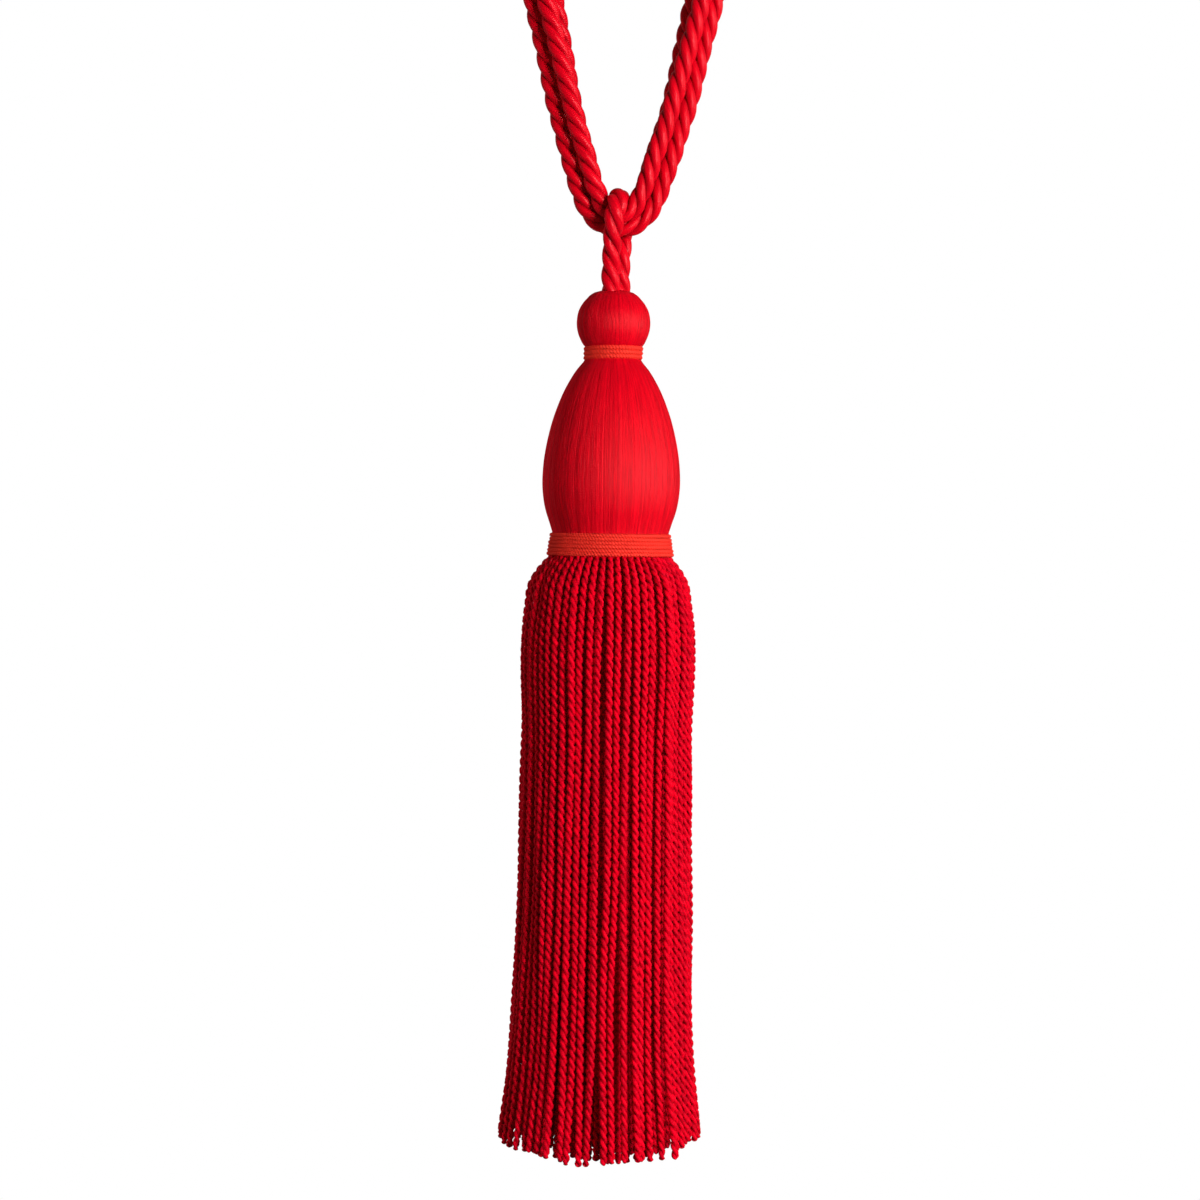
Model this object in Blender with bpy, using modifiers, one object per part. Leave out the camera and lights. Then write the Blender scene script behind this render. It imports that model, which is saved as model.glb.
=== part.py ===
"""Tassel tieback: three endless twisted ropes that hold a tassel by its neck loop.

The tassel is a yarn-covered ball and egg-shaped body with bands of thin cord, over a skirt of bullion cords.
The origin is the point where a hook carries the three ropes, on the inside of their top arches.
+X is to the right and -Y to the front. Sizes are in metres; MM turns a millimetre into one.
"""

import math

import bmesh
import bpy
from mathutils import Vector

MM = 0.001
GAP = 0.3 * MM

# Twisted rope, 6 mm thick: three soft strands laid round each other. Its faces are flat, so its crests stand
# a little outside the real rope's.
ROPE_STRANDS = 3
ROPE_RADIUS = 3.1 * MM
GROOVE_RADIUS = 2.15 * MM
ROPE_LAY = 19.6 * MM
ROPE_STEPS_PER_LAY = 9

# Half of the loop that each embrace rope hangs in, in millimetres from the knot. Its side is -1 in front, 0 in
# the middle and 1 at the back. Its squeeze says how much thinner it is at the knot, where the neck loop grips it.
LOOP_HEIGHT = 268.5
EMBRACE_ROPES = {
    # name: (side, squeeze, ((out, up), ...))
    "embrace_front": (
        -1,
        0.73,
        (
            (0.0, 2.1),
            (3.0, 2.5),
            (5.2, 4.7),
            (6.6, 8.1),
            (8.2, 11.8),
            (10.9, 20.8),
            (14.0, 29.9),
            (16.5, 39.0),
            (20.8, 55.0),
            (25.0, 71.0),
            (31.5, 108.0),
            (35.8, 146.0),
            (36.9, 182.0),
            (34.7, 214.0),
            (28.8, 240.0),
            (20.5, 256.5),
            (10.9, 265.6),
            (0.0, LOOP_HEIGHT),
        ),
    ),
    "embrace_middle": (
        0,
        0.77,
        (
            (0.0, -2.0),
            (3.0, -1.7),
            (5.7, -0.8),
            (8.1, 1.2),
            (10.6, 4.5),
            (13.4, 11.4),
            (16.4, 20.8),
            (19.0, 29.9),
            (21.6, 39.0),
            (25.2, 55.0),
            (29.1, 71.0),
            (35.7, 108.0),
            (40.0, 146.0),
            (40.8, 182.0),
            (38.2, 214.0),
            (31.4, 240.0),
            (21.8, 256.5),
            (11.3, 265.5),
            (0.0, LOOP_HEIGHT),
        ),
    ),
    "embrace_back": (
        1,
        0.73,
        (
            (0.0, 2.1),
            (3.0, 2.5),
            (5.5, 4.5),
            (6.9, 8.1),
            (8.1, 11.8),
            (10.5, 20.8),
            (13.4, 29.9),
            (15.8, 39.0),
            (18.9, 55.0),
            (22.0, 71.0),
            (28.5, 108.0),
            (33.5, 146.0),
            (35.4, 182.0),
            (34.0, 214.0),
            (28.6, 240.0),
            (20.5, 256.5),
            (10.9, 265.6),
            (0.0, LOOP_HEIGHT),
        ),
    ),
}

# How far the middle of the loops stands to the right of the hook at each height above the knot, and how far
# the line of one rope is behind the next, in millimetres.
LOOP_LEAN = ((0.0, 1.1), (40.0, 1.5), (110.0, 1.5), (LOOP_HEIGHT, 0.0))
ROPE_SPACING = (
    (0.0, 2.9),
    (12.0, 4.2),
    (30.0, 5.0),
    (71.0, 5.4),
    (120.0, 5.9),
    (200.0, 6.55),
    (LOOP_HEIGHT, 6.55),
)

KNOT_Z = ROPE_RADIUS - LOOP_HEIGHT * MM
KNOT_REACH = 8.5 * MM

# The neck loop is a short length of the same rope. It goes over the front and back ropes and down into the
# ball, and is a little flatter over them. Half of it, in millimetres: out from its middle to the front or
# back, up from the knot, and to the right of the tassel's axis for its front and its back leg.
NECK_HALF = (
    # out, up, front leg right, back leg right
    (0.0, 7.6, 1.3, 1.3),
    (2.6, 7.6, 0.95, 1.8),
    (5.2, 7.2, 0.8, 1.9),
    (7.6, 5.5, 0.5, 2.1),
    (8.85, 2.5, -0.05, 2.3),
    (8.4, -0.8, -0.4, 2.4),
    (7.0, -3.8, -0.7, 2.5),
    (5.3, -6.6, -0.9, 2.5),
    (3.9, -10.0, -1.0, 2.2),
    (3.0, -14.0, -1.1, 2.0),
    (2.85, -19.0, -1.1, 2.05),
    (2.85, -25.1, -1.1, 2.05),
)
BIGHT_SQUEEZE = 0.9
BIGHT_BOTTOM = 3 * MM
SQUEEZE_FADE = 4 * MM
NECK_STEPS_PER_LAY = 9
NECK_DEPTH_IN_BALL = 3.0 * MM
SOCKET_SIDES = 16

# Heights of the tassel's pieces below the knot.
BALL_TOP = KNOT_Z - 22.1 * MM
BALL_BOTTOM = KNOT_Z - 39.7 * MM
EGG_TOP = KNOT_Z - 43.8 * MM
EGG_BOTTOM = KNOT_Z - 99.5 * MM
BAND_BOTTOM = KNOT_Z - 106.9 * MM

# Radius of the ball at each share of its height from the top, in millimetres.
BALL_PROFILE = (
    # share, radius
    (0.0, 5.3),
    (0.04, 6.8),
    (0.14, 8.8),
    (0.3, 10.8),
    (0.5, 11.8),
    (0.68, 11.7),
    (0.84, 10.8),
    (1.0, 9.1),
)
BALL_STEPS = 28

# Radius of the egg-shaped body at each share of its height from the top, in millimetres.
EGG_PROFILE = (
    # share, radius
    (0.0, 9.0),
    (0.06, 11.6),
    (0.14, 14.3),
    (0.29, 17.9),
    (0.46, 20.5),
    (0.62, 21.8),
    (0.74, 21.9),
    (0.86, 20.9),
    (0.95, 19.3),
    (1.0, 18.5),
)
EGG_NECK_RADIUS = 7.8 * MM
EGG_STEPS = 32

# Bands of thin twisted cord: outer radius at the top and at the bottom, wraps, and steps round the ring.
BAND_CORD = 1.25 * MM
BAND_GROOVE = 0.3 * MM
UPPER_BAND = (9.4 * MM, 9.4 * MM, 3, 24)
LOWER_BAND = (19.2 * MM, 20.3 * MM, 6, 32)

# The skirt hangs in layers of bullion cord, each a little inside the one before.
LAYERS = (
    # strands, inset in mm at the root, inset in mm below, sides of a strand, share of the skirt's length
    (56, 0.0, 0.0, 4, 1.0),
    (44, 2.5, 3.1, 3, 0.985),
    (28, 5.0, 6.6, 3, 0.97),
)
STRAND_RADIUS = 1.22 * MM
COLLAR_STEPS = 56

# A strand starts thin, with its root a little way up in the collar. Every depth of the skirt is in
# millimetres below the band.
ROOT_RADIUS = 0.78 * MM
ROOT_DEPTH = 1.6
FULL_THICKNESS_DEPTH = 12.0
FULL_INSET_DEPTH = 10.0

# Distance of the outer strands from the axis at each depth, in millimetres.
SKIRT_FALL = (
    # depth, distance
    (-ROOT_DEPTH, 16.4),
    (0.0, 17.5),
    (2.6, 20.4),
    (7.0, 23.7),
    (16.0, 25.5),
    (60.0, 26.0),
    (120.0, 27.0),
    (160.0, 28.4),
    (189.0, 31.2),
)
SKIRT_LENGTH = SKIRT_FALL[-1][0]
OUTER_STATIONS = (-ROOT_DEPTH, 1.5, 7.0, 20.0, 140.0, SKIRT_LENGTH)
INNER_STATIONS = (-ROOT_DEPTH, 8.0, 110.0, SKIRT_LENGTH)

# Slow waves round the skirt that bring the strands' feet out of line, and how far they do.
WAVES = {
    # (share, waves round the skirt, phase, phase added for each layer), ...
    "sideways": ((0.6, 5, 0.0, 1.0), (0.4, 11, 0.0, 2.1)),
    "outwards": ((0.5, 1, math.pi, 0.0), (0.5, 9, 0.0, 1.9)),
    "length": ((0.6, 2, -math.pi / 2, 0.0), (0.4, 7, 0.0, 3.0)),
}
SIDEWAYS_REACH = math.radians(0.9)
OUTWARDS_REACH = 2.0
LENGTH_REACH = 2.0


def empty_scene():
    for obj in list(bpy.data.objects):
        bpy.data.objects.remove(obj, do_unlink=True)


def collection(name):
    made = bpy.data.collections.new(name)
    bpy.context.scene.collection.children.link(made)
    return made


def material(name, colour, roughness):
    made = bpy.data.materials.new(name)
    made.use_nodes = True
    shader = made.node_tree.nodes["Principled BSDF"]
    shader.inputs["Base Color"].default_value = (*colour, 1)
    shader.inputs["Roughness"].default_value = roughness
    shader.inputs["Metallic"].default_value = 0
    made.diffuse_color = (*colour, 1)
    return made


def add(name, data, finish, parts):
    data.materials.append(finish)
    obj = bpy.data.objects.new(name, data)
    parts.objects.link(obj)
    return obj


def hide(obj):
    """Keeps a guide or a cutter out of the model."""
    obj.hide_render = True
    obj.display_type = "WIRE"
    return obj


def between(table, at):
    """The second column of a table at a value of its first, joined by a smooth curve through the rows."""
    rows = [table[0], *table, table[-1]]
    for a, b, c, d in zip(rows, rows[1:], rows[2:], rows[3:]):
        if at <= c[0] or c is table[-1]:
            break
    span = c[0] - b[0]
    t = min(max((at - b[0]) / span, 0), 1)
    rise_b = (c[1] - a[1]) / (c[0] - a[0]) * span
    rise_c = (d[1] - b[1]) / (d[0] - b[0]) * span
    return (
        (2 * t**3 - 3 * t**2 + 1) * b[1]
        + (t**3 - 2 * t**2 + t) * rise_b
        + (3 * t**2 - 2 * t**3) * c[1]
        + (t**3 - t**2) * rise_c
    )


def smooth(points, closed, fineness=24):
    """Points of a smooth curve through the given ones."""
    count = len(points)
    out = []
    for i in range(count if closed else count - 1):
        if closed:
            a, b, c, d = (points[(i + k) % count] for k in (-1, 0, 1, 2))
        else:
            a, b, c, d = (points[min(max(i + k, 0), count - 1)] for k in (-1, 0, 1, 2))
        reach = (c - b).length
        start = (c - a).normalized() * reach
        end = (d - b).normalized() * reach
        for k in range(fineness):
            t = k / fineness
            out.append(
                (2 * t**3 - 3 * t**2 + 1) * b
                + (t**3 - 2 * t**2 + t) * start
                + (3 * t**2 - 2 * t**3) * c
                + (t**3 - t**2) * end
            )
    out.append(points[0 if closed else -1].copy())
    return out


def run_length(line):
    return sum((b - a).length for a, b in zip(line, line[1:]))


def evenly(line, steps):
    """Points at even distances along a line, first and last included."""
    step = run_length(line) / steps
    out = [line[0]]
    walked = 0.0
    for a, b in zip(line, line[1:]):
        piece = (b - a).length
        while walked + piece >= step * len(out) - 1e-9 and len(out) <= steps:
            out.append(a.lerp(b, (step * len(out) - walked) / piece))
        walked += piece
    return out


def star(name, points, crest, groove, guides):
    """A closed flat outline whose points lie in turn on the crest and in the groove."""
    curve = bpy.data.curves.new(name, "CURVE")
    spline = curve.splines.new("POLY")
    spline.points.add(points - 1)
    spline.use_cyclic_u = True
    for i, point in enumerate(spline.points):
        turn = -2 * math.pi * i / points
        radius = groove if i % 2 else crest
        point.co = (radius * math.cos(turn), radius * math.sin(turn), 0, 1)
    obj = bpy.data.objects.new(name, curve)
    guides.objects.link(obj)
    return hide(obj)


def swept(name, section, finish, parts):
    """A curve object that carries a section along its splines."""
    curve = bpy.data.curves.new(name, "CURVE")
    curve.dimensions = "3D"
    curve.twist_mode = "MINIMUM"
    curve.bevel_mode = "OBJECT"
    curve.bevel_object = section
    curve.use_fill_caps = True
    return add(name, curve, finish, parts)


def add_spline(obj, line, radii, tilts, closed=False):
    spline = obj.data.splines.new("POLY")
    spline.points.add(len(line) - 1)
    spline.use_cyclic_u = closed
    for point, place, radius, tilt in zip(spline.points, line, radii, tilts):
        point.co = (*place, 1)
        point.radius = radius
        point.tilt = tilt


def grip(height):
    """How hard the neck loop grips the embrace ropes at a height: 1 at the knot, 0 well above it."""
    return math.exp(-(((height - KNOT_Z) / KNOT_REACH) ** 2))


def embrace_route(side, half):
    """The closed line of one embrace rope: from its top arch down its right side and up its left one."""
    right = [(out, up) for out, up in reversed(half)]
    left = [(-out, up) for out, up in half[1:-1]]
    route = []
    for out, up in right + left:
        across = between(LOOP_LEAN, up) + out
        depth = side * between(ROPE_SPACING, up)
        route.append(Vector((across * MM, depth * MM, KNOT_Z + up * MM)))
    return smooth(route, closed=True)


def embrace(name, side, squeeze, half, section, finish, parts):
    """One endless embrace rope, squeezed where the neck loop grips it."""
    line = embrace_route(side, half)
    turns = round(run_length(line) / ROPE_LAY)
    steps = round(turns * ROPE_STEPS_PER_LAY)
    line = evenly(line, steps)[:-1]
    radii = [1 - (1 - squeeze) * grip(p.z) for p in line]
    tilts = [-2 * math.pi * turns * i / steps for i in range(steps)]
    rope = swept(name, section, finish, parts)
    add_spline(rope, line, radii, tilts, closed=True)
    return rope


def neck_route():
    """The line of the neck loop: out of the ball at the back, over the ropes and into the ball in front."""
    back = [(right, out, up) for out, up, _, right in reversed(NECK_HALF)]
    front = [(right, -out, up) for out, up, right, _ in NECK_HALF[1:]]
    route = [Vector((right * MM, out * MM, KNOT_Z + up * MM)) for right, out, up in back + front]
    return smooth(route, closed=False)


def neck_loop(section, finish, parts):
    line = neck_route()
    lays = run_length(line) / ROPE_LAY
    steps = round(lays * NECK_STEPS_PER_LAY)
    line = evenly(line, steps)
    radii = []
    for p in line:
        share = min(max((p.z - KNOT_Z - BIGHT_BOTTOM) / SQUEEZE_FADE, 0), 1)
        radii.append(1 - (1 - BIGHT_SQUEEZE) * share)
    tilts = [-2 * math.pi * lays * i / steps for i in range(steps + 1)]
    rope = swept("neck_loop", section, finish, parts)
    add_spline(rope, line, radii, tilts)
    return rope


def turned(name, outline, steps, finish, parts, closed=False):
    """A solid turned round the Z axis from an outline of (radius, height) that runs down its outer side."""
    mesh = bpy.data.meshes.new(name)
    points = [(radius, 0, height) for radius, height in outline]
    edges = [(i, i + 1) for i in range(len(points) - 1)]
    if closed:
        edges.append((len(points) - 1, 0))
    mesh.from_pydata(points, edges, [])
    obj = add(name, mesh, finish, parts)
    screw = obj.modifiers.new("turn", "SCREW")
    screw.axis = "Z"
    screw.angle = 2 * math.pi
    screw.steps = steps
    screw.render_steps = steps
    screw.use_merge_vertices = True
    screw.merge_threshold = 0.00002
    screw.use_smooth_shade = True
    return obj


def profile(table, top, bottom):
    """The (radius, height) outline of a table of (share of height, radius in millimetres)."""
    return [(radius * MM, top + (bottom - top) * share) for share, radius in table]


def ball(finish, parts, guides):
    outline = profile(BALL_PROFILE, BALL_TOP, BALL_BOTTOM)
    outline = [(0, BALL_TOP), *outline, (0, BALL_BOTTOM)]
    obj = turned("ball", outline, BALL_STEPS, finish, parts)
    out, _, front_right, back_right = NECK_HALF[-1]
    depth = NECK_DEPTH_IN_BALL + GAP
    for name, right, side in (("front_socket", front_right, -out), ("back_socket", back_right, out)):
        mesh = bpy.data.meshes.new(name)
        shape = bmesh.new()
        bmesh.ops.create_cone(
            shape,
            cap_ends=True,
            segments=SOCKET_SIDES,
            radius1=ROPE_RADIUS + GAP,
            radius2=ROPE_RADIUS + GAP,
            depth=2 * depth,
        )
        shape.to_mesh(mesh)
        shape.free()
        cutter = bpy.data.objects.new(name, mesh)
        cutter.location = (right * MM, side * MM, BALL_TOP)
        guides.objects.link(hide(cutter))
        cut = obj.modifiers.new(name, "BOOLEAN")
        cut.operation = "DIFFERENCE"
        cut.object = cutter
    return obj


def egg(finish, parts):
    """The egg-shaped body, with the short neck that carries the ball through the upper band."""
    outline = profile(EGG_PROFILE, EGG_TOP, EGG_BOTTOM)
    neck_top = BALL_BOTTOM - GAP
    neck = [(0, neck_top), (EGG_NECK_RADIUS, neck_top), (EGG_NECK_RADIUS, EGG_TOP)]
    outline = [*neck, *outline, (0, EGG_BOTTOM)]
    return turned("egg", outline, EGG_STEPS, finish, parts)


def band(name, size, top, bottom, finish, parts):
    """A ring of cord wraps, with a groove between each wrap and the next."""
    top_radius, bottom_radius, wraps, steps = size
    outline = []
    for i in range(2 * wraps + 1):
        share = i / (2 * wraps)
        radius = top_radius + (bottom_radius - top_radius) * share
        outline.append((radius if i % 2 else radius - BAND_GROOVE, top + (bottom - top) * share))
    outline.append((bottom_radius - BAND_CORD, bottom))
    outline.append((top_radius - BAND_CORD, top))
    return turned(name, outline, steps, finish, parts, closed=True)


def wave(kind, turn, layer):
    """A share from -1 to 1 that changes slowly round a layer of the skirt."""
    return sum(
        share * math.sin(waves * turn + phase + layer_phase * layer)
        for share, waves, phase, layer_phase in WAVES[kind]
    )


def strand_line(turn, layer, stations):
    """The hanging line of one strand from its root in the collar to its foot."""
    _, root_inset, inset, _, reach = LAYERS[layer]
    line = []
    for depth in stations:
        down = max(depth, 0) / SKIRT_LENGTH
        settled = min(max(depth, 0) / FULL_INSET_DEPTH, 1)
        distance = between(SKIRT_FALL, depth) - root_inset - (inset - root_inset) * settled
        distance += OUTWARDS_REACH * wave("outwards", turn, layer) * down**6
        angle = turn + SIDEWAYS_REACH * wave("sideways", turn, layer) * down**2
        fall = depth * (reach if depth > 0 else 1)
        if depth == SKIRT_LENGTH:
            fall -= LENGTH_REACH * (1 + wave("length", turn, layer))
        out = distance * MM
        line.append(Vector((out * math.sin(angle), -out * math.cos(angle), BAND_BOTTOM - fall * MM)))
    return line


def strands_mesh(finish, guides):
    """Every strand of the skirt as one mesh of separate closed prisms."""
    shape = bmesh.new()
    for layer, (count, _, _, sides, _) in enumerate(LAYERS):
        section = star(f"strand_section_{layer}", sides, 1.0, 1.0, guides)
        cords = swept(f"strands_{layer}", section, finish, guides)
        stations = INNER_STATIONS if layer else OUTER_STATIONS
        fullness = [min(max(depth / FULL_THICKNESS_DEPTH, 0), 1) for depth in stations]
        radii = [ROOT_RADIUS + (STRAND_RADIUS - ROOT_RADIUS) * full for full in fullness]
        for i in range(count):
            line = strand_line(2 * math.pi * (i + 0.5 * (layer % 2)) / count, layer, stations)
            add_spline(cords, line, radii, [0.0] * len(line))
        bpy.context.view_layer.update()
        graph = bpy.context.evaluated_depsgraph_get()
        made = bpy.data.meshes.new_from_object(cords.evaluated_get(graph))
        shape.from_mesh(made)
        bpy.data.objects.remove(cords)
        bpy.data.meshes.remove(made)
    bmesh.ops.remove_doubles(shape, verts=shape.verts, dist=0.001 * MM)
    bmesh.ops.recalc_face_normals(shape, faces=shape.faces)
    mesh = bpy.data.meshes.new("strands")
    shape.to_mesh(mesh)
    shape.free()
    obj = bpy.data.objects.new("strands", mesh)
    guides.objects.link(hide(obj))
    return obj


def skirt(finish, parts, guides):
    """The collar that the lower band goes round, with every strand's root fused into it."""
    top_radius, bottom_radius, _, _ = LOWER_BAND
    top = EGG_BOTTOM - GAP
    outline = [
        (0, top),
        (top_radius - BAND_CORD - GAP, top),
        (bottom_radius - BAND_CORD - GAP, BAND_BOTTOM),
        (0, BAND_BOTTOM),
    ]
    obj = turned("skirt", outline, COLLAR_STEPS, finish, parts)
    fuse = obj.modifiers.new("roots", "BOOLEAN")
    fuse.operation = "UNION"
    fuse.object = strands_mesh(finish, guides)
    return obj


def main():
    empty_scene()
    parts = collection("tassel_tieback")
    guides = collection("guides")
    rope_finish = material("satin rope", (0.72, 0.004, 0.012), 0.45)
    yarn_finish = material("wound yarn", (0.74, 0.005, 0.012), 0.5)
    band_finish = material("band cord", (0.80, 0.03, 0.012), 0.55)
    skirt_finish = material("bullion cord", (0.62, 0.003, 0.010), 0.55)

    section = star("rope_section", 2 * ROPE_STRANDS, ROPE_RADIUS, GROOVE_RADIUS, guides)
    for name, (side, squeeze, half) in EMBRACE_ROPES.items():
        embrace(name, side, squeeze, half, section, rope_finish, parts)
    neck_loop(section, rope_finish, parts)
    ball(yarn_finish, parts, guides)
    band("upper_band", UPPER_BAND, BALL_BOTTOM - GAP, EGG_TOP + GAP, band_finish, parts)
    egg(yarn_finish, parts)
    band("lower_band", LOWER_BAND, EGG_BOTTOM - GAP, BAND_BOTTOM, band_finish, parts)
    skirt(skirt_finish, parts, guides)


main()
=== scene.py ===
import math

import bpy
import numpy as np
from mathutils import Matrix, Vector


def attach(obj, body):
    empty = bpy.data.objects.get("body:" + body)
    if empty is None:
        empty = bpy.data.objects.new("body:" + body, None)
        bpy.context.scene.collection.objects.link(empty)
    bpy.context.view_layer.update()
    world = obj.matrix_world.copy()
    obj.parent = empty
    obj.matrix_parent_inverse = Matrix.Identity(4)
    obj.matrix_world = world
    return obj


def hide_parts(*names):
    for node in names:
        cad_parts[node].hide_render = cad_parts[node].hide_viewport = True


# Tassel tieback: three endless twisted ropes, a neck loop, a yarn-covered ball and body, bands and a bullion
# skirt. The tassel's sizes are in millimetres until MM turns them into the frame's metres. The camera, the
# stage and the lights are in metres.

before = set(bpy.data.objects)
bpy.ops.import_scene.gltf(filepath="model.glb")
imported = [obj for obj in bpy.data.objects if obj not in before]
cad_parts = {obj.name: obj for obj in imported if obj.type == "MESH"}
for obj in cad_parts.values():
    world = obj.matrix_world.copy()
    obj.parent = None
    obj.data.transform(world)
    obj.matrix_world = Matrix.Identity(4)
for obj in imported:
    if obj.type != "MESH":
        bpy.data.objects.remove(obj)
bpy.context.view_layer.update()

MM = 0.001
TO_THE_RIGHT = np.array([1.0, 0.0, 0.0])
TO_THE_BACK = np.array([0.0, 1.0, 0.0])
UP = np.array([0.0, 0.0, 1.0])
random = np.random.default_rng(5)

# In a UV map, a column's share across its thread stops just short of the next thread's number.
PLY_SHARE_GAP = 1e-4
HALF_THREAD_SHARE = 0.499

# Twisted rope, laid from soft strands: how far their middles are from the rope's middle, and their radius.
# Columns are counted for each strand, and a step is the distance from one ring of points to the next.
ROPE_STRANDS = 3
ROPE_LAY = 19.6
ROPE_HELIX = 1.48
ROPE_STRAND = 1.6
ROPE_COLUMNS = 12
ROPE_STEP = 0.85
NECK_STEP = ROPE_STEP / 1.5
# Millimetres along the outside of a strand for each millimetre of rope.
FIBRE_SHARE = 1.13

# How unevenly things run: the steps between two turns of a slow random change, and its size. A strand's
# change is a share of its radius, a twist's is in radians, and the others are in millimetres.
STRAND_GIRTH_DRIFT = (9, 0.012)
EMBRACE_TWIST_DRIFT = (24, 0.04)
NECK_TWIST_DRIFT = (20, 0.04)
WOUND_SWELL_DRIFTS = ((9, 0.05), (31, 0.06))
WRAP_RADIUS_DRIFT = (50, 0.05)
WRAP_LEVEL_DRIFT = (60, 0.04)
CORD_TWIST_DRIFT = (30, 0.12)
FEWEST_TURNS = 3

# The embrace ropes. The knot squeezes all three alike, and the squeeze fades over KNOT_REACH. Each rope has
# its side (-1 in front, 1 at the back), the phase of its lay at the knot and on its legs, which holds from
# LEG_LENGTH along the rope, and half of its loop as distances out and up from the knot.
LOOP_HEIGHT = 268.5
KNOT_Z = -265.4
KNOT_REACH = 8.5
KNOT_SQUEEZE = 0.95
LEG_LENGTH = 95.0
EMBRACE_ROPES = {
    "front": {
        "side": -1,
        "phases": (-0.25, 0.29),
        "half": (
            (0.0, 2.1),
            (3.0, 2.5),
            (5.2, 4.7),
            (6.6, 8.1),
            (8.2, 11.8),
            (10.9, 20.8),
            (14.0, 29.9),
            (16.5, 39.0),
            (20.8, 55.0),
            (25.0, 71.0),
            (31.5, 108.0),
            (35.8, 146.0),
            (36.9, 182.0),
            (34.7, 214.0),
            (28.8, 240.0),
            (20.5, 256.5),
            (10.9, 265.6),
            (0.0, LOOP_HEIGHT),
        ),
    },
    "middle": {
        "side": 0,
        "phases": (1.98, -0.74),
        "half": (
            (0.0, -2.0),
            (3.0, -1.7),
            (5.7, -0.8),
            (8.1, 1.2),
            (10.6, 4.5),
            (13.4, 11.4),
            (16.4, 20.8),
            (19.0, 29.9),
            (21.6, 39.0),
            (25.2, 55.0),
            (29.1, 71.0),
            (35.7, 108.0),
            (40.0, 146.0),
            (40.8, 182.0),
            (38.2, 214.0),
            (31.4, 240.0),
            (21.8, 256.5),
            (11.3, 265.5),
            (0.0, LOOP_HEIGHT),
        ),
    },
    "back": {
        "side": 1,
        "phases": (2.14, 0.75),
        "half": (
            (0.0, 2.1),
            (3.0, 2.5),
            (5.5, 4.5),
            (6.9, 8.1),
            (8.1, 11.8),
            (10.5, 20.8),
            (13.4, 29.9),
            (15.8, 39.0),
            (18.9, 55.0),
            (22.0, 71.0),
            (28.5, 108.0),
            (33.5, 146.0),
            (35.4, 182.0),
            (34.0, 214.0),
            (28.6, 240.0),
            (20.5, 256.5),
            (10.9, 265.6),
            (0.0, LOOP_HEIGHT),
        ),
    },
}
LOOP_LEAN = (
    # height above the knot, how far the loop's middle is to the right
    (0.0, 1.1),
    (40.0, 1.5),
    (110.0, 1.5),
    (LOOP_HEIGHT, 0.0),
)
ROPE_SPACING = (
    # height above the knot, distance from the middle rope to its neighbours
    (0.0, 2.9),
    (12.0, 4.2),
    (30.0, 5.0),
    (71.0, 5.4),
    (120.0, 5.9),
    (200.0, 6.55),
    (LOOP_HEIGHT, 6.55),
)

# Half of the neck loop: out to the front or back, up from the knot, and to the right for each of its legs.
NECK_HALF = (
    # out, up, front leg right, back leg right
    (0.0, 7.6, 1.3, 1.3),
    (2.6, 7.6, 0.95, 1.8),
    (5.2, 7.2, 0.8, 1.9),
    (7.6, 5.5, 0.5, 2.1),
    (8.85, 2.5, -0.05, 2.3),
    (8.4, -0.8, -0.4, 2.4),
    (7.0, -3.8, -0.7, 2.5),
    (5.3, -6.6, -0.9, 2.5),
    (3.9, -10.0, -1.0, 2.2),
    (3.0, -14.0, -1.1, 2.0),
    (2.85, -19.0, -1.1, 2.05),
    (2.85, -25.1, -1.1, 2.05),
)
NECK_PHASE = 0.65
# The bend over the knot is flattened: how much wider it is, and between which heights this sets in.
BIGHT_WIDTH = 1.1
BIGHT_FADE = (-6.0, 2.0)

# Heights of the tassel's pieces.
BALL_TOP = KNOT_Z - 22.1
BALL_BOTTOM = KNOT_Z - 39.7
EGG_TOP = KNOT_Z - 43.8
EGG_BOTTOM = KNOT_Z - 99.5
BAND_BOTTOM = KNOT_Z - 106.9
LOWER_WRAPS_TOP = EGG_BOTTOM + 0.2
LOWER_WRAPS_BOTTOM = BAND_BOTTOM + 0.5

# Yarn wound over the turned ball and body. How far a thread strays from its place is a share of the
# spacing, its crest and the valley beside it are shares of the relief, and all of it fades where the shape
# is thin. The body's yarn runs on behind the bands above and below it.
THREAD_SHIFT = 0.22
CREST_SHARES = (0.35, 1.5)
VALLEY_SHARES = (0.2, 1.5)
LEAST_RELIEF_SHARE = 0.3
# The threads lean in waves round the shape, and each wave turns a few times on its way down.
LEAN_WAVES = 9
LEAN_TURNS = 3
LEAN_DAMPING = 3
BALL_PROFILE = (
    # share of the height from the top, radius
    (-0.03, 0.4),
    (-0.02, 2.2),
    (0.0, 5.0),
    (0.04, 6.7),
    (0.14, 8.7),
    (0.3, 10.7),
    (0.5, 11.65),
    (0.68, 11.55),
    (0.84, 10.7),
    (1.0, 9.0),
    (1.04, 8.2),
)
EGG_PROFILE = (
    # share of the height from the top, radius
    (-0.08, 8.1),
    (-0.02, 8.4),
    (0.0, 8.9),
    (0.06, 11.5),
    (0.14, 14.2),
    (0.29, 17.8),
    (0.46, 20.4),
    (0.62, 21.7),
    (0.74, 21.8),
    (0.86, 20.8),
    (0.95, 19.2),
    (1.0, 18.4),
    (1.13, 18.7),
)
WOUND = {
    "ball": {
        "profile": BALL_PROFILE,
        "top": BALL_TOP,
        "bottom": BALL_BOTTOM,
        "threads": 150,
        "rows": 40,
        "relief": 0.09,
        "lean": 2.0,
    },
    "egg": {
        "profile": EGG_PROFILE,
        "top": EGG_TOP,
        "bottom": EGG_BOTTOM,
        "threads": 250,
        "rows": 64,
        "relief": 0.1,
        "lean": 1.6,
    },
}

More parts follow.
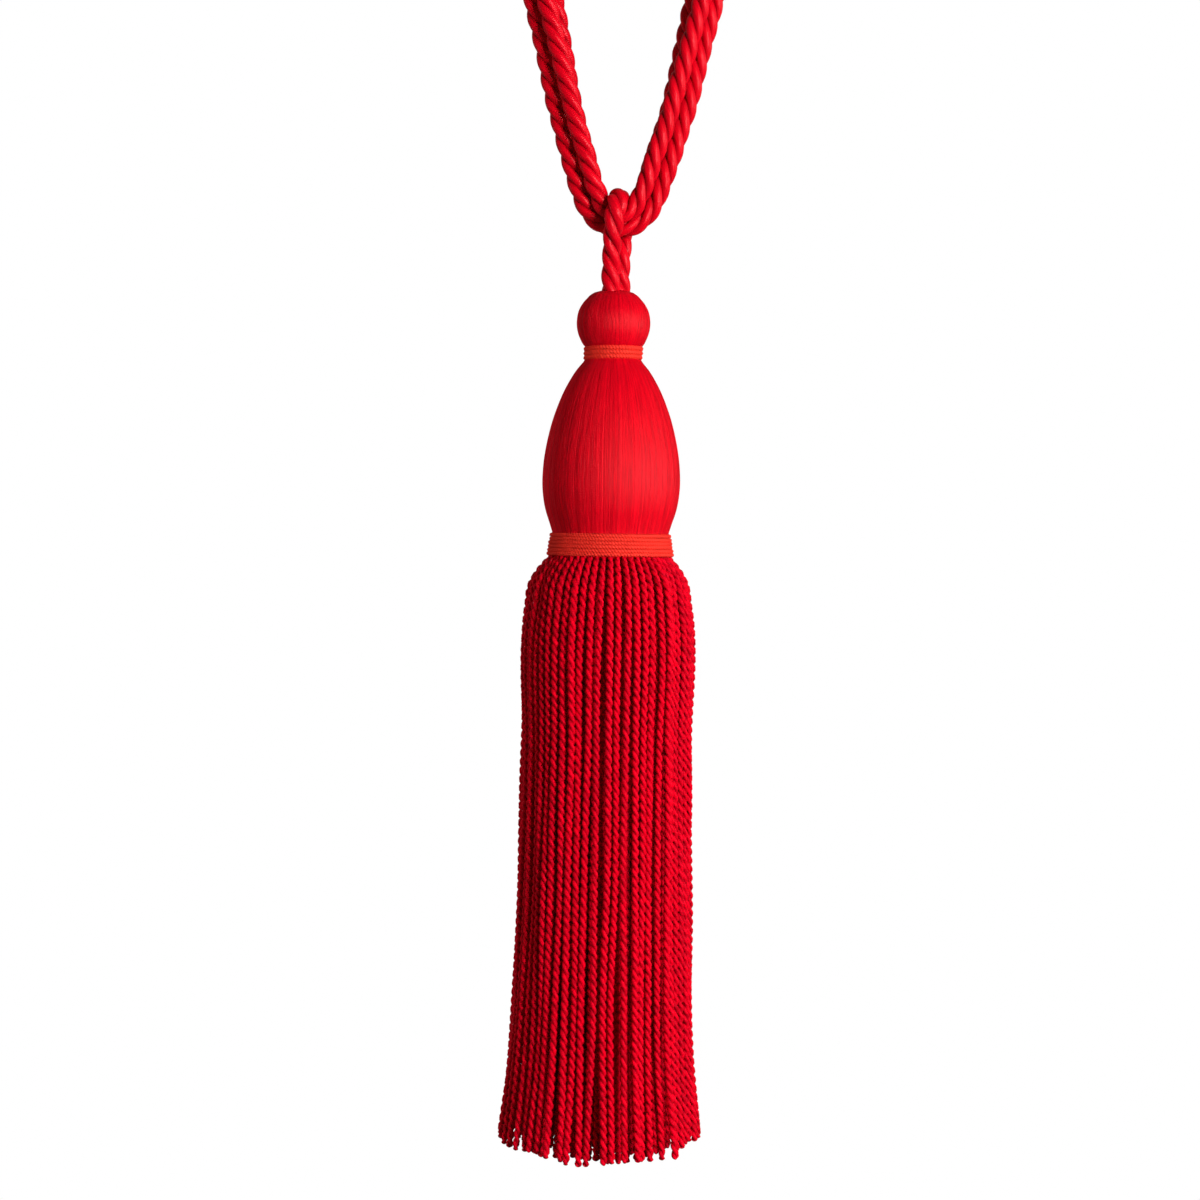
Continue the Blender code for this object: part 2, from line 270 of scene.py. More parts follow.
# Bands of two-ply cord. The helix and the plies are shares of half the cord's thickness.
PLIES = 2
BAND_HELIX = 0.4
BAND_PLY = 0.84
BAND_LAY = 2.1
BAND_STEPS_PER_LAY = 6
BAND_COLUMNS = 8
BANDS = {
    "upper": {
        "count": 3,
        "top": BALL_BOTTOM,
        "bottom": EGG_TOP,
        "top_radius": 9.4,
        "bottom_radius": 9.4,
        "tilt": 0.15,
    },
    "lower": {
        "count": 6,
        "top": LOWER_WRAPS_TOP,
        "bottom": LOWER_WRAPS_BOTTOM,
        "top_radius": 19.3,
        "bottom_radius": 20.4,
        "tilt": 0.0,
    },
}

# Skirt: strands in each layer and how far the layer hangs inside the outer one.
LAYERS = (
    # name, strands, pieces, inset at the root, inset below, columns, steps in a lay, length share, girth
    ("outer", 56, 4, 0.0, 0.0, 10, 8, 1.0, 0.92),
    ("middle", 51, 2, 2.5, 3.1, 8, 7, 1.0, 1.0),
    ("inner", 41, 1, 5.0, 6.4, 6, 6, 1.0, 1.05),
    ("core", 29, 1, 8.0, 10.5, 5, 5, 0.995, 1.5),
)
SKIRT_FALL = (
    # depth below the band, distance of the outer strands from the axis
    (-2.0, 18.0),
    (0.0, 18.9),
    (2.6, 21.0),
    (7.0, 23.7),
    (16.0, 25.5),
    (60.0, 26.0),
    (120.0, 27.0),
    (160.0, 28.4),
    (189.0, 31.2),
)
SKIRT_ROOT = SKIRT_FALL[0][0]
SKIRT_LENGTH = SKIRT_FALL[-1][0]
FULL_INSET_DEPTH = 10.0
# Inner layers hang straighter: each one takes back a further share of what the outer strands spread past
# this distance from the axis.
SPREAD_START = 25.8
SPREAD_LOSS = 0.32
CORD_LAY = 5.7
CORD_HELIX = 0.6
CORD_PLY = 0.72
CORD_VARIATION = (0.95, 1.05)
# Strands are thinner at their roots, and their feet are rounded: the rings of a foot lie at these degrees.
ROOT_SHARE = 0.8
FULL_THICKNESS_DEPTH = 9.0
TIP_LENGTH = 1.1
TIP_ANGLES = (25, 45, 65, 83)
LEAST_TIP_SHARE = 0.02
# Slow changes round the skirt, and how far they reach at the strands' feet. The higher a power, the nearer
# to the foot its change sets in.
WAVES = {
    # (share, waves round the skirt, phase, phase added for each layer), ...
    "sideways": ((0.6, 5, 0.0, 1.0), (0.4, 11, 0.0, 2.1)),
    "outwards": ((0.5, 1, math.pi, 0.0), (0.5, 9, 0.0, 1.9)),
    "length": ((0.6, 2, -math.pi / 2, 0.0), (0.4, 7, 0.0, 3.0)),
}
SIDEWAYS_REACH = math.radians(0.9)
OUTWARDS_REACH = 2.0
LENGTH_REACH = 2.0
SIDEWAYS_POWER = 2
OUTWARDS_POWER = 6
FLARE_POWER = 8
SPLAY_POWER = 6
# How far single strands stray outwards and sideways, all along and then at their feet. They also bend a
# little on the way, by so many millimetres and with so many turns, and all of it sets in below the roots.
STRAND_SCATTER = (0.3, 0.2, 0.35, 0.3)
STRAND_BENDS = (
    # turns, size
    (5, 0.25),
    (4, 0.3),
)
LOOSE_DEPTH = 12.0


def eased(share):
    """A share from 0 to 1 with soft ends."""
    return share * share * (3 - 2 * share)


def joined(t, start, start_rise, end, end_rise):
    """The cubic curve between two values with the given rises, at shares t of the way."""
    return (
        (2 * t**3 - 3 * t**2 + 1) * start
        + (t**3 - 2 * t**2 + t) * start_rise
        + (3 * t**2 - 2 * t**3) * end
        + (t**3 - t**2) * end_rise
    )


def smooth(points, closed=False, fineness=24):
    """Points of a smooth curve through the given ones."""
    points = np.asarray(points, float)
    count = len(points)
    out = []
    for i in range(count if closed else count - 1):
        if closed:
            a, b, c, d = (points[(i + k) % count] for k in (-1, 0, 1, 2))
        else:
            a, b, c, d = (points[min(max(i + k, 0), count - 1)] for k in (-1, 0, 1, 2))
        reach = np.linalg.norm(c - b)
        start = (c - a) / np.linalg.norm(c - a) * reach
        end = (d - b) / np.linalg.norm(d - b) * reach
        t = (np.arange(fineness) / fineness)[:, None]
        out.append(joined(t, b, start, c, end))
    out.append(points[:1] if closed else points[-1:])
    return np.concatenate(out)


def walked(line):
    """Distance along a line at each of its points."""
    return np.concatenate([[0.0], np.cumsum(np.linalg.norm(np.diff(line, axis=0), axis=1))])


def evenly(line, steps):
    """Points at even distances along a line, first and last included."""
    distance = walked(line)
    at = np.linspace(0, distance[-1], steps + 1)
    return np.stack([np.interp(at, distance, line[:, k]) for k in range(3)], axis=1)


def between(table, at):
    """The second column of a table at values of its first, joined by a smooth curve through the rows."""
    table = np.asarray(table, float)
    rise = np.gradient(table[:, 1], table[:, 0])
    at = np.clip(at, table[0, 0], table[-1, 0])
    i = np.clip(np.searchsorted(table[:, 0], at) - 1, 0, len(table) - 2)
    span = table[i + 1, 0] - table[i, 0]
    t = (at - table[i, 0]) / span
    return joined(t, table[i, 1], rise[i] * span, table[i + 1, 1], rise[i + 1] * span)


def wander(length, spacing, size, closed=False):
    """A smooth random value along a row of samples, with a new turn about every spacing samples."""
    knots = max(int(length / spacing), FEWEST_TURNS)
    values = random.normal(0, size, knots + 1)
    if closed:
        values[-1] = values[0]
    at = np.linspace(0, knots, length, endpoint=not closed)
    i = np.minimum(at.astype(int), knots - 1)
    t = eased(at - i)
    return values[i] * (1 - t) + values[i + 1] * t


def laid(plies, helix, ply, lay, columns):
    """Section of a twisted cord: angle, radius and (left, right) share across its ply of each column.

    A ply crosses the section at a slant, so there it is an ellipse. Each ply's columns start in a groove.
    """
    half = math.pi / plies
    share = np.sin(np.linspace(-0.5, 0.5, columns // plies + 1) * math.pi)
    angle = share[:-1] * half
    wide = ply * math.hypot(1, 2 * math.pi * helix / lay)
    a = (np.cos(angle) / ply) ** 2 + (np.sin(angle) / wide) ** 2
    b = helix * np.cos(angle) / ply**2
    c = (helix / ply) ** 2 - 1
    radius = (b + np.sqrt(np.maximum(b**2 - a * c, 0))) / a
    turns = np.repeat(np.arange(plies), len(angle))
    left = turns + np.tile((share[:-1] + 1) / 2, plies)
    right = turns + np.tile((share[1:] + 1) / 2, plies)
    across = np.stack([left, np.maximum(right - PLY_SHARE_GAP, left)], axis=1)
    return np.tile(angle, plies) + 2 * half * turns, np.tile(radius, plies), across


def sweep(line, reference, angles, radii, closed=False, flatten=None):
    """Rings of points round a line, with angle 0 on the side that the reference points to.

    angles and radii have a row for each ring. flatten makes each ring that many times wider along the
    reference and as many times narrower across it.
    """
    if closed:
        along = np.roll(line, -1, axis=0) - np.roll(line, 1, axis=0)
    else:
        along = np.gradient(line, axis=0)
    along /= np.linalg.norm(along, axis=1)[:, None]
    near = reference - along * np.sum(along * reference, axis=1)[:, None]
    near /= np.linalg.norm(near, axis=1)[:, None]
    beside = np.cross(along, near)
    if flatten is not None:
        near = near * flatten[:, None]
        beside = beside / flatten[:, None]
    across = np.cos(angles)[..., None] * near[:, None] + np.sin(angles)[..., None] * beside[:, None]
    return line[:, None] + radii[..., None] * across


def crease(mesh, columns, creases):
    """Makes the edges that run along the given columns of a tube sharp."""
    ends = np.empty(len(mesh.edges) * 2, np.int32)
    mesh.edges.foreach_get("vertices", ends)
    ends = ends.reshape(-1, 2) % columns
    sharp = (ends[:, 0] == ends[:, 1]) & np.isin(ends[:, 0], creases)
    mark = mesh.attributes.new("sharp_edge", "BOOLEAN", "EDGE")
    mark.data.foreach_set("value", sharp)


def thread_map(along, across, spans):
    """The UV map's values at the four corners of every face of tubes."""
    uv = np.empty((len(along), spans, across.shape[1], 4, 2))
    uv[..., 0, 0] = uv[..., 1, 0] = along[:, :-1, None]
    uv[..., 2, 0] = uv[..., 3, 0] = along[:, 1:, None]
    uv[..., 0, 1] = uv[..., 3, 1] = across[:, None, :, 0]
    uv[..., 1, 1] = uv[..., 2, 1] = across[:, None, :, 1]
    return uv.reshape(-1, 4, 2)


def placed(name, points, loops, starts, uvs):
    """A smooth object from its points, the corners of its faces, where each face starts, and its UV map."""
    mesh = bpy.data.meshes.new(name)
    mesh.vertices.add(len(points))
    mesh.vertices.foreach_set("co", points.ravel())
    mesh.loops.add(len(loops))
    mesh.loops.foreach_set("vertex_index", loops.astype(np.int32))
    mesh.polygons.add(len(starts))
    mesh.polygons.foreach_set("loop_start", starts.astype(np.int32))
    layer = mesh.uv_layers.new(name="thread")
    layer.uv.foreach_set("vector", uvs.ravel())
    mesh.update(calc_edges=True)
    mesh.shade_smooth()
    obj = bpy.data.objects.new(name, mesh)
    bpy.context.scene.collection.objects.link(obj)
    return obj


def build(name, tubes, along, across, closed=False, creases=()):
    """One mesh of tubes from points of shape (tubes, rings, columns, 3), in millimetres.

    The UV map says where each point lies on its thread: millimetres along it, and a whole number for the
    thread plus the share across it. along has a row for each tube, and across a (left, right) pair for
    each column.
    """
    count, rings, columns, _ = tubes.shape
    index = np.arange(count * rings * columns).reshape(count, rings, columns)
    upper = index if closed else index[:, :-1]
    lower = np.roll(index, -1, axis=1) if closed else index[:, 1:]
    corners = np.stack([upper, np.roll(upper, -1, axis=2), np.roll(lower, -1, axis=2), lower], axis=-1)
    spans = corners.shape[1]
    points = tubes.reshape(-1, 3) * MM
    a, b, c = (points[corners[..., k]] for k in (0, 1, 3))
    outward = np.sum(np.cross(b - a, c - a) * (a - tubes.mean(axis=2)[:, :spans, None] * MM))
    quads = corners.reshape(-1, 4)
    uv = thread_map(along, across, spans)
    if outward < 0:
        quads, uv = quads[:, ::-1], uv[:, ::-1]
    loops = [quads.ravel()]
    starts = [np.arange(len(quads)) * 4]
    uvs = [uv.reshape(-1, 2)]
    if not closed:
        for ring, flip in ((0, outward > 0), (-1, outward < 0)):
            cap = index[:, ring]
            cap = cap[:, ::-1] if flip else cap
            starts.append(sum(len(part) for part in loops) + np.arange(count) * columns)
            loops.append(cap.ravel())
            uvs.append(np.repeat(np.stack([along[:, ring], across[:, 0, 0]], axis=1), columns, axis=0))
    obj = placed(name, points, *(np.concatenate(parts) for parts in (loops, starts, uvs)))
    if len(creases):
        crease(obj.data, columns, creases)
    return obj


def dress(obj, finish, node):
    """Gives a piece its material and its place in the frame."""
    obj.data.materials.append(finish)
    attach(obj, "root")
    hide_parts(node)


# Materials


class Shader:
    """A material's node tree with short ways to add to it."""

    def __init__(self, name):
        self.material = bpy.data.materials.new(name)
        self.material.use_nodes = True
        self.tree = self.material.node_tree
        self.bsdf = self.tree.nodes["Principled BSDF"]

    def node(self, kind, inputs=(), **settings):
        made = self.tree.nodes.new(kind)
        for key, value in settings.items():
            setattr(made, key, value)
        for key, value in dict(inputs).items():
            self.fill(made.inputs[key], value)
        return made

    def fill(self, socket, value):
        """Gives a socket a constant or the output of another node."""
        if hasattr(value, "is_output"):
            self.tree.links.new(value, socket)
        else:
            socket.default_value = value

    def math(self, operation, *values):
        return self.node("ShaderNodeMath", enumerate(values), operation=operation).outputs[0]

    def noise(self, vector, scale, detail):
        inputs = {"Vector": vector, "Scale": scale, "Detail": detail}
        return self.node("ShaderNodeTexNoise", inputs).outputs["Fac"]

    def object_place(self):
        return self.node("ShaderNodeTexCoord").outputs["Object"]

    def colour(self, share, first, second):
        """Base colour that runs from one colour to another."""
        mixed = self.node("ShaderNodeMix", {"Factor": share}, data_type="RGBA")
        low, high = (socket for socket in mixed.inputs if socket.type == "RGBA")
        low.default_value = (*first, 1)
        high.default_value = (*second, 1)
        result = [socket for socket in mixed.outputs if socket.type == "RGBA"][0]
        self.set(Base_Color=result)

    def set(self, **values):
        for name, value in values.items():
            self.fill(self.bsdf.inputs[name.replace("_", " ")], value)


# Yarn's fine looks. The sharpness of the painted shade in a valley between threads is a power, and a ridge
# wavers by a share of its spacing.
STREAK_DETAIL = 6.0
FUZZ_FINENESS = 2600.0
FUZZ_DETAIL = 2.0
VALLEY_SHADE_SHARPNESS = 4.0
RIDGE_WAVER = 1.2
# How strongly the fine ridges are painted: painted shade in their troughs, painted highlight on their
# crests.
RIDGE_SHADE_TONE = 1.2
ROUGHNESS_SPREAD = (-0.08, 0.1)
SHEEN = 0.05
SHEEN_ROUGHNESS = 0.4
QUARTER_TURN = 0.25


def thread(name, deep, bright, ridges, streaks, relief, contrast, gloss):
    """Twisted or wound yarn.

    ridges is the spacing, lean and height of the fine ridges across a thread, streaks the fineness of its
    streaks along and across it, and relief the height in millimetres of its lengthwise fibres and of its
    fuzz. contrast says how strong the streaks are, how much threads differ and how dark the painted shade in
    the valleys between them is. gloss is the roughness, the strength and tint of highlights and how far they
    are drawn out across the fibres. The colour also carries painted shade: it is darker in the valleys
    between threads and in the troughs of the fine ridges, and lighter on the ridges' crests.
    """
    pitch, lean, ridge = ridges
    fineness_along, fineness_across = streaks
    fibre, nap = relief
    streak_share, own_share, valley_shade_share = contrast
    roughness, shine, tint, silk = gloss
    shader = Shader(name)
    uv = shader.node("ShaderNodeUVMap", uv_map="thread")
    split = shader.node("ShaderNodeSeparateXYZ", {"Vector": uv.outputs["UV"]})
    along, across = split.outputs["X"], split.outputs["Y"]
    centred = shader.math("MULTIPLY_ADD", shader.math("FRACT", across), 2.0, -1.0)
    stretched = shader.node(
        "ShaderNodeCombineXYZ",
        {
            "X": shader.math("MULTIPLY", along, fineness_along),
            "Y": shader.math("MULTIPLY", across, fineness_across),
        },
    )
    streak = shader.noise(stretched.outputs["Vector"], 1.0, STREAK_DETAIL)
    fuzz = shader.noise(shader.object_place(), FUZZ_FINENESS, FUZZ_DETAIL)
    number = shader.math("FLOOR", across)
    own = shader.node("ShaderNodeTexWhiteNoise", {"W": number}, noise_dimensions="1D").outputs["Value"]
    valley = shader.math("POWER", shader.math("ABSOLUTE", centred), VALLEY_SHADE_SHARPNESS)

    phase = shader.math("MULTIPLY_ADD", centred, lean, along)
    phase = shader.math("MULTIPLY_ADD", streak, pitch * RIDGE_WAVER, phase)
    wave = shader.math("SINE", shader.math("MULTIPLY", phase, 2 * math.pi / pitch))
    height = shader.math("MULTIPLY", wave, ridge / 2)
    height = shader.math("MULTIPLY_ADD", streak, fibre, height)
    height = shader.math("MULTIPLY_ADD", fuzz, nap, height)
    bump = shader.node("ShaderNodeBump", {"Height": height, "Strength": 1.0, "Distance": MM})
    shader.set(Normal=bump.outputs["Normal"])

    tone = shader.math("MULTIPLY_ADD", streak, streak_share, 0.5 - streak_share / 2)
    tone = shader.math("MULTIPLY_ADD", shader.math("SUBTRACT", own, 0.5), own_share, tone)
    # Painted shade and highlight: the fine ridges' troughs are painted darker and their crests lighter.
    tone = shader.math("MULTIPLY_ADD", wave, ridge * RIDGE_SHADE_TONE, tone)
    # Painted shade: the valleys between threads are painted darker.
    tone = shader.math("MULTIPLY_ADD", valley, -valley_shade_share, tone)
    shader.colour(tone, deep, bright)
    smoothest, roughest = (roughness + part for part in ROUGHNESS_SPREAD)
    rough = shader.node("ShaderNodeMapRange", {"Value": streak, "To Min": smoothest, "To Max": roughest})
    shader.set(Roughness=rough.outputs["Result"])
    shader.set(Sheen_Weight=SHEEN, Sheen_Roughness=SHEEN_ROUGHNESS, Sheen_Tint=(*bright, 1))
    shader.set(Specular_IOR_Level=shine, Specular_Tint=(*tint, 1))
    if silk:
        tangent = shader.node("ShaderNodeTangent", direction_type="UV_MAP", uv_map="thread")
        shader.set(Tangent=tangent.outputs["Tangent"])
        shader.set(Anisotropic=silk, Anisotropic_Rotation=QUARTER_TURN)
    return shader.material


PAPER = (0.25, 0.25, 0.25)
PAPER_GLOW = 0.84
PAPER_ROUGHNESS = 0.9
MOTTLE_SHARE = 0.96
MOTTLE_FINENESS = 14.0
MOTTLE_DETAIL = 4.0
WHITE = (1, 1, 1, 1)
BLACK = (0, 0, 0, 1)


def pale():
    """Plain studio paper with a very slight mottle."""
    shader = Shader("paper")
    mottle = shader.noise(shader.object_place(), MOTTLE_FINENESS, MOTTLE_DETAIL)
    shader.colour(mottle, PAPER, [MOTTLE_SHARE * part for part in PAPER])
    shader.set(Roughness=PAPER_ROUGHNESS, Emission_Color=WHITE, Emission_Strength=PAPER_GLOW)
    return shader.material


ROPE = thread(
    "rope yarn",
    deep=(0.30, 0.0, 0.004),
    bright=(0.76, 0.0, 0.010),
    ridges=(0.64, -0.4, 0.03),
    streaks=(0.12, 8.0),
    relief=(0.09, 0.015),
    contrast=(1.3, 0.1, 0.5),
    gloss=(0.32, 0.32, (1.0, 0.28, 0.3), 0.0),
)
YARN = thread(
    "wound yarn",
    deep=(0.30, 0.0, 0.004),
    bright=(0.80, 0.0, 0.010),
    ridges=(1.7, 0.2, 0.0),
    streaks=(0.12, 3.0),
    relief=(0.2, 0.12),
    contrast=(1.6, 0.36, 0.3),
    gloss=(0.44, 0.3, (1.0, 0.23, 0.23), 0.5),
)
BAND = thread(
    "band cord",
    deep=(0.48, 0.008, 0.006),
    bright=(0.84, 0.042, 0.022),
    ridges=(0.5, 0.3, 0.02),
    streaks=(0.3, 1.2),
    relief=(0.03, 0.018),
    contrast=(0.8, 0.1, 1.0),
    gloss=(0.65, 0.3, (1.0, 0.45, 0.38), 0.0),
)
CORD = thread(
    "bullion cord",
    deep=(0.20, 0.0, 0.003),
    bright=(0.90, 0.0, 0.013),
    ridges=(0.5, -0.3, 0.05),
    streaks=(0.3, 1.2),
    relief=(0.05, 0.03),
    contrast=(1.1, 0.2, 0.4),
    gloss=(0.5, 0.12, (1.0, 0.15, 0.45), 0.0),
)


# The camera, at the photo's angle


CAMERA_PLACE = (-0.003, -0.8, KNOT_Z * MM - 0.0996)
CAMERA_PITCH = math.radians(1.5)
CAMERA_ROLL = math.radians(0.89)
SENSOR_WIDTH = 36
# The focal length and the picture's width, in the photo's pixels.
FOCAL_LENGTH = 2500
PICTURE_WIDTH = 1200


def camera():
    data = bpy.data.cameras.new("camera")
    data.sensor_width = SENSOR_WIDTH
    data.lens = SENSOR_WIDTH * FOCAL_LENGTH / PICTURE_WIDTH
    obj = bpy.data.objects.new("camera", data)
    obj.location = CAMERA_PLACE
    look = Matrix.Rotation(math.radians(90) - CAMERA_PITCH, 4, "X") @ Matrix.Rotation(CAMERA_ROLL, 4, "Z")
    obj.rotation_euler = look.to_euler()
    bpy.context.scene.collection.objects.link(obj)
    bpy.context.scene.camera = obj


# Twisted ropes


ROPE_SECTION = laid(ROPE_STRANDS, ROPE_HELIX, ROPE_STRAND, ROPE_LAY, ROPE_COLUMNS * ROPE_STRANDS)
ROPE_GROOVES = np.arange(ROPE_STRANDS) * ROPE_COLUMNS


def grip(height):
    """How hard the neck loop grips the embrace ropes at a height: 1 at the knot, 0 well above it."""
    return np.exp(-(((height - KNOT_Z) / KNOT_REACH) ** 2))


def embrace_route(side, half):
    """The closed line of one embrace rope, from the knot up its right side, over the arch and down again."""
    right = [(out, up) for out, up in half]
    left = [(-out, up) for out, up in reversed(half[1:-1])]
    route = []
    for out, up in right + left:
        across = between(LOOP_LEAN, up) + out
        depth = side * between(ROPE_SPACING, up)
        route.append((across, depth, KNOT_Z + up))
    return smooth(route, closed=True)


def uneven(rings, closed):
    """A slight unevenness of each strand along a rope, as a factor for every column."""
    strands = [1 + wander(rings, *STRAND_GIRTH_DRIFT, closed=closed) for _ in range(ROPE_STRANDS)]
    return np.repeat(np.stack(strands, axis=1), ROPE_COLUMNS, axis=1)


def embrace(name, side, phases, half):
    """One endless embrace rope along its whole route."""
    line = embrace_route(side, half)
    length = walked(line)[-1]
    rings = int(length / ROPE_STEP)
    line = evenly(line, rings)[:-1]
    distance = np.arange(rings + 1) / rings * length
    at_knot, on_legs = phases
    turned = 2 * math.pi * round(length / ROPE_LAY)
    leg = 2 * math.pi * LEG_LENGTH / ROPE_LAY
    marks = (0, LEG_LENGTH, length - LEG_LENGTH, length)
    twist = at_knot + np.interp(distance[:-1], marks, (0, leg + on_legs, turned - leg - on_legs, turned))
    twist = twist + wander(rings, *EMBRACE_TWIST_DRIFT, closed=True)
    angles, radii, across = ROPE_SECTION
    size = 1 - (1 - KNOT_SQUEEZE) * grip(line[:, 2])
    radii = radii[None] * size[:, None] * uneven(rings, closed=True)
    points = sweep(line, TO_THE_BACK, angles[None] - twist[:, None], radii, closed=True)
    along = (distance * FIBRE_SHARE)[None]
    rope = build(f"rope_{name}", points[None], along, across[None], closed=True, creases=ROPE_GROOVES)
    dress(rope, ROPE, f"embrace_{name}")


def neck_loop():
    """The short rope over the embrace ropes, a little flattened where it bears on them."""
    back = [(right, out, KNOT_Z + up) for out, up, _, right in reversed(NECK_HALF)]
    front = [(right, -out, KNOT_Z + up) for out, up, right, _ in NECK_HALF[1:]]
    line = smooth(back + front)
    rings = int(walked(line)[-1] / NECK_STEP)
    line = evenly(line, rings)
    distance = walked(line)
    twist = NECK_PHASE + 2 * math.pi * distance / ROPE_LAY + wander(rings + 1, *NECK_TWIST_DRIFT)
    low, high = BIGHT_FADE
    share = np.clip((line[:, 2] - KNOT_Z - low) / (high - low), 0, 1)
    flatten = 1 + (BIGHT_WIDTH - 1) * eased(share)
    angles, radii, across = ROPE_SECTION
    radii = radii[None] * uneven(rings + 1, closed=False)
    points = sweep(line, TO_THE_RIGHT, angles[None] - twist[:, None], radii, flatten=flatten)
    along = (distance * FIBRE_SHARE)[None]
    rope = build("neck_rope", points[None], along, across[None], creases=ROPE_GROOVES)
    dress(rope, ROPE, "neck_loop")


# Head of the tassel


def wound(node, profile, top, bottom, threads, rows, relief, lean):
    """Yarn wound from top to bottom over a turned shape: each thread is a ridge between two valleys.

    relief is the height of the ridges in millimetres, and lean says how far the threads stray sideways, in
    degrees.
    """
    table = np.asarray(profile, float)
    share = np.linspace(table[0, 0], table[-1, 0], rows)
    radius = between(table, share)
    height = top + (bottom - top) * share
    distance = walked(np.stack([radius, height, 0 * height], axis=1))
    shift = random.uniform(-THREAD_SHIFT, THREAD_SHIFT, threads)
    ridge = np.arange(threads) + shift
    valley = np.arange(threads) + 0.5 + (shift + np.roll(shift, -1)) / 2
    angle = np.stack([ridge, valley], axis=1).ravel() / threads * 2 * math.pi
    crest = relief * random.uniform(*CREST_SHARES, threads)
    pit = -relief * random.uniform(*VALLEY_SHARES, threads)
    swell = sum(wander(2 * threads, *drift, closed=True) for drift in WOUND_SWELL_DRIFTS)
    swell = swell + np.stack([crest, pit], axis=1).ravel()
    waves = np.arange(LEAN_WAVES) + 1
    leans = np.stack([wander(rows, rows / LEAN_TURNS, 1.0) for _ in waves], axis=1)
    around = np.cos(waves[:, None] * angle + waves[:, None] ** 2)
    turned = angle[None] + math.radians(lean) * (leans @ around) / LEAN_DAMPING
    fade = np.clip(radius / radius.max(), LEAST_RELIEF_SHARE, 1)[:, None]
    out = radius[:, None] + swell[None] * fade
    level = np.broadcast_to(height[:, None], out.shape)
    points = np.stack([out * np.sin(turned), -out * np.cos(turned), level], axis=2)
    left = np.stack([np.arange(threads) + 0.5, np.arange(threads) + 1.0], axis=1).ravel()
    across = np.stack([left, left + HALF_THREAD_SHARE], axis=1)
    piece = build(f"{node}_yarn", points[None], distance[None], across[None])
    dress(piece, YARN, node)


def wraps(place, count, top, bottom, top_radius, bottom_radius, tilt):
    """Turns of thin two-ply cord laid side by side round the tassel.

    The radii are those of the band's outside, and tilt lifts its right side.
    """
    half = (top - bottom) / count / 2
    rings = int(2 * math.pi * bottom_radius / BAND_LAY) * BAND_STEPS_PER_LAY
    turn = np.arange(rings) / rings * 2 * math.pi
    angles, radii, across = laid(PLIES, BAND_HELIX * half, BAND_PLY * half, BAND_LAY, BAND_COLUMNS)
    radii = np.tile(radii, (rings, 1))
    tubes = []
    for k in range(count):
        share = (k + 0.5) / count
        out = top_radius + (bottom_radius - top_radius) * share - half
        out = out + wander(rings, *WRAP_RADIUS_DRIFT, closed=True)
        level = top + (bottom - top) * share + tilt * np.sin(turn)
        level = level + wander(rings, *WRAP_LEVEL_DRIFT, closed=True)
        line = np.stack([out * np.sin(turn), -out * np.cos(turn), level], axis=1)
        twist = random.uniform(0, 2 * math.pi) + np.arange(rings) / BAND_STEPS_PER_LAY * 2 * math.pi
        tubes.append(sweep(line, UP, angles[None] + twist[:, None], radii, closed=True))
    along = np.tile(np.arange(rings + 1) / rings * 2 * math.pi * bottom_radius, (count, 1))
    across = across[None] + PLIES * np.arange(count)[:, None, None]
    piece = build(f"{place}_wraps", np.stack(tubes), along, across, closed=True)
    dress(piece, BAND, f"{place}_band")


# Skirt


def wave(kind, turn, layer):
    """A share from -1 to 1 that changes slowly round a layer of the skirt."""
    return sum(
        share * math.sin(waves * turn + phase + layer_phase * layer)
        for share, waves, phase, layer_phase in WAVES[kind]
    )


def strand(turn, layer, depths):
    """The hanging line of one strand, from under the band to its foot."""
    _, _, _, root_inset, inset, _, _, reach, _ = LAYERS[layer]
    down = np.maximum(depths, 0) / SKIRT_LENGTH
    settled = np.clip(depths / FULL_INSET_DEPTH, 0, 1)
    outermost = between(SKIRT_FALL, depths)
    distance = outermost - root_inset - (inset - root_inset) * settled
    distance = distance - SPREAD_LOSS * layer * np.maximum(outermost - SPREAD_START, 0)
    distance = distance + OUTWARDS_REACH * wave("outwards", turn, layer) * down**OUTWARDS_POWER
    angle = turn + SIDEWAYS_REACH * wave("sideways", turn, layer) * down**SIDEWAYS_POWER
    fall = depths * np.where(depths > 0, reach, 1)
    fall = fall - LENGTH_REACH * (1 + wave("length", turn, layer)) * down
    loose = np.clip(depths / LOOSE_DEPTH, 0, 1)
    outwards, sideways, flare, splay = random.normal(0, 1, 4) * STRAND_SCATTER
    rows = len(depths)
    outward_bend, sideways_bend = (wander(rows, rows / turns, size) for turns, size in STRAND_BENDS)
    distance = distance + (outward_bend + outwards) * loose + flare * down**FLARE_POWER
    aside = (sideways_bend + sideways) * loose + splay * down**SPLAY_POWER
    angle = angle + aside / distance
    return np.stack([distance * np.sin(angle), -distance * np.cos(angle), BAND_BOTTOM - fall], axis=1)


